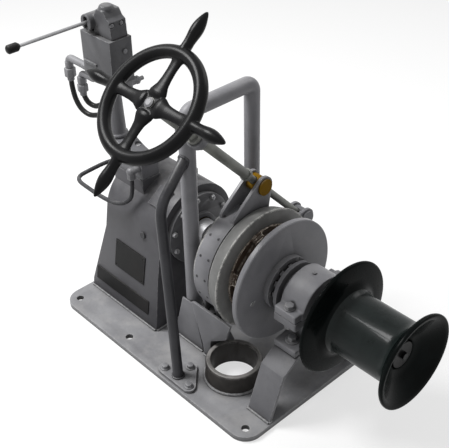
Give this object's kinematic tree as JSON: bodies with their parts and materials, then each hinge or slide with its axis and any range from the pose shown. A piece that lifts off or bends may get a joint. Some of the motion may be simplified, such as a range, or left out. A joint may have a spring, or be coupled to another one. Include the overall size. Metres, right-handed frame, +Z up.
{
  "type": "hydraulic anchor winch",
  "caption": "Deck winch with hydraulic gear drive, chain wheel with clutch, band brake with inclined handwheel, lever valve, tube frame and warping head.",
  "frame": {"origin": "middle of the deck plate's underside, at the centre of its bolt rectangle", "axes": "+X along the main shaft towards the warping head, -Y towards the operator, +Z up"},
  "size_m": [1.423, 0.8772, 1.212],
  "materials": {
    "grey_paint": "satin",
    "dark_paint": "satin",
    "black_paint": "satin",
    "gloss_green": "gloss",
    "bare_steel": "satin",
    "bronze": "satin",
    "worn_iron": "rusty",
    "lining": "matte",
    "hose_rubber": "matte",
    "knob": "satin"
  },
  "bodies": {
    "frame": {"deck_plate": "grey_paint", "chain_pipe": "grey_paint", "gear_housing": "grey_paint", "shaft_cover": "dark_paint", "case_bolts": "bare_steel", "case_end_cap": "grey_paint", "case_fittings": "bare_steel", "case_bush": "bronze", "name_plate": "bare_steel", "valve_plinth": "grey_paint", "hydraulic_motor": "dark_paint", "anchor_bracket": "grey_paint", "anchor_pin": "bare_steel", "tube_frame": "grey_paint", "frame_shoes": "grey_paint", "bent_stay": "grey_paint", "stay_bolts": "bare_steel", "spindle_bearing": "grey_paint", "trestle": "grey_paint", "bearing_base": "grey_paint", "bearing_cap": "grey_paint", "bearing_bush": "bronze", "bearing_bolts": "bare_steel", "valve_stand": "dark_paint", "valve_block": "grey_paint", "valve_bonnet": "grey_paint", "bonnet_screws": "bare_steel", "lever_pin": "bare_steel", "relief_valve": "bare_steel", "hose_fittings": "bare_steel", "supply_hose": "hose_rubber", "return_hose": "hose_rubber", "motor_pipes": "dark_paint", "pipe_nuts": "bare_steel"},
    "shaft": {"main_shaft": "bare_steel", "shaft_keys": "bare_steel", "main_gear": "bare_steel", "warping_head": "gloss_green", "head_cap": "dark_paint"},
    "motor_shaft": {"pinion": "bare_steel"},
    "chain_wheel_unit": {"drum_bushes": "bronze", "brake_drum": "bare_steel", "chain_wheel": "worn_iron", "outer_cheek": "grey_paint", "cheek_bolts": "bare_steel", "clutch_ring": "grey_paint"},
    "clutch": {"clutch_sleeve": "grey_paint"},
    "front_band": {"band_front": "grey_paint", "lining_front": "lining", "trunnion_front": "bronze"},
    "rear_band": {"band_rear": "grey_paint", "lining_rear": "lining", "trunnion_rear": "bronze"},
    "brake_wheel": {"brake_spindle": "bare_steel", "handwheel": "black_paint", "wheel_nut": "bare_steel"},
    "control_lever": {"valve_lever": "bare_steel", "lever_knob": "knob"},
    "spool": {"valve_spool": "bare_steel"}
  },
  "joints": [
    {"name": "shaft_turn", "type": "hinge", "parent": "frame", "child": "shaft", "pos_m": [0, 0, 0.35], "axis": [1, 0, 0], "continuous": true},
    {"name": "motor_turn", "type": "hinge", "parent": "frame", "child": "motor_shaft", "pos_m": [-0.3, 0.063, 0.24088], "axis": [1, 0, 0], "continuous": true},
    {"name": "chain_wheel_turn", "type": "hinge", "parent": "frame", "child": "chain_wheel_unit", "pos_m": [0, 0, 0.35], "axis": [1, 0, 0], "continuous": true},
    {"name": "clutch_slide", "type": "slide", "parent": "shaft", "child": "clutch", "axis": [1, 0, 0], "range_m": [-0.018, 0]},
    {"name": "wheel_turn", "type": "hinge", "parent": "frame", "child": "brake_wheel", "pos_m": [0.119, -0.33, 1.02], "axis": [0, 0.6794, -0.7337], "range_deg": [0, 300]},
    {"name": "front_band_swing", "type": "hinge", "parent": "frame", "child": "front_band", "pos_m": [0.119, -0.12806, 0.18609], "axis": [1, 0, 0], "range_deg": [-0.3, 0]},
    {"name": "rear_band_swing", "type": "hinge", "parent": "frame", "child": "rear_band", "pos_m": [0.119, -0.12806, 0.18609], "axis": [1, 0, 0], "range_deg": [0, 0.3]},
    {"name": "lever_tilt", "type": "hinge", "parent": "frame", "child": "control_lever", "pos_m": [-0.44, -0.102, 1.016], "axis": [1, 0, 0], "range_deg": [-15, 15], "stiffness_Nm_per_rad": 20},
    {"name": "spool_slide", "type": "slide", "parent": "frame", "child": "spool", "axis": [0, 0, 1], "range_m": [-0.0035, 0.0035]}
  ],
  "couplings": [
    {"joint": "motor_turn", "follows": "shaft_turn", "ratio": -3},
    {"joint": "front_band_swing", "follows": "wheel_turn", "ratio": -0.001},
    {"joint": "rear_band_swing", "follows": "wheel_turn", "ratio": 0.001},
    {"joint": "spool_slide", "follows": "lever_tilt", "m_per_rad": 0.012}
  ]
}
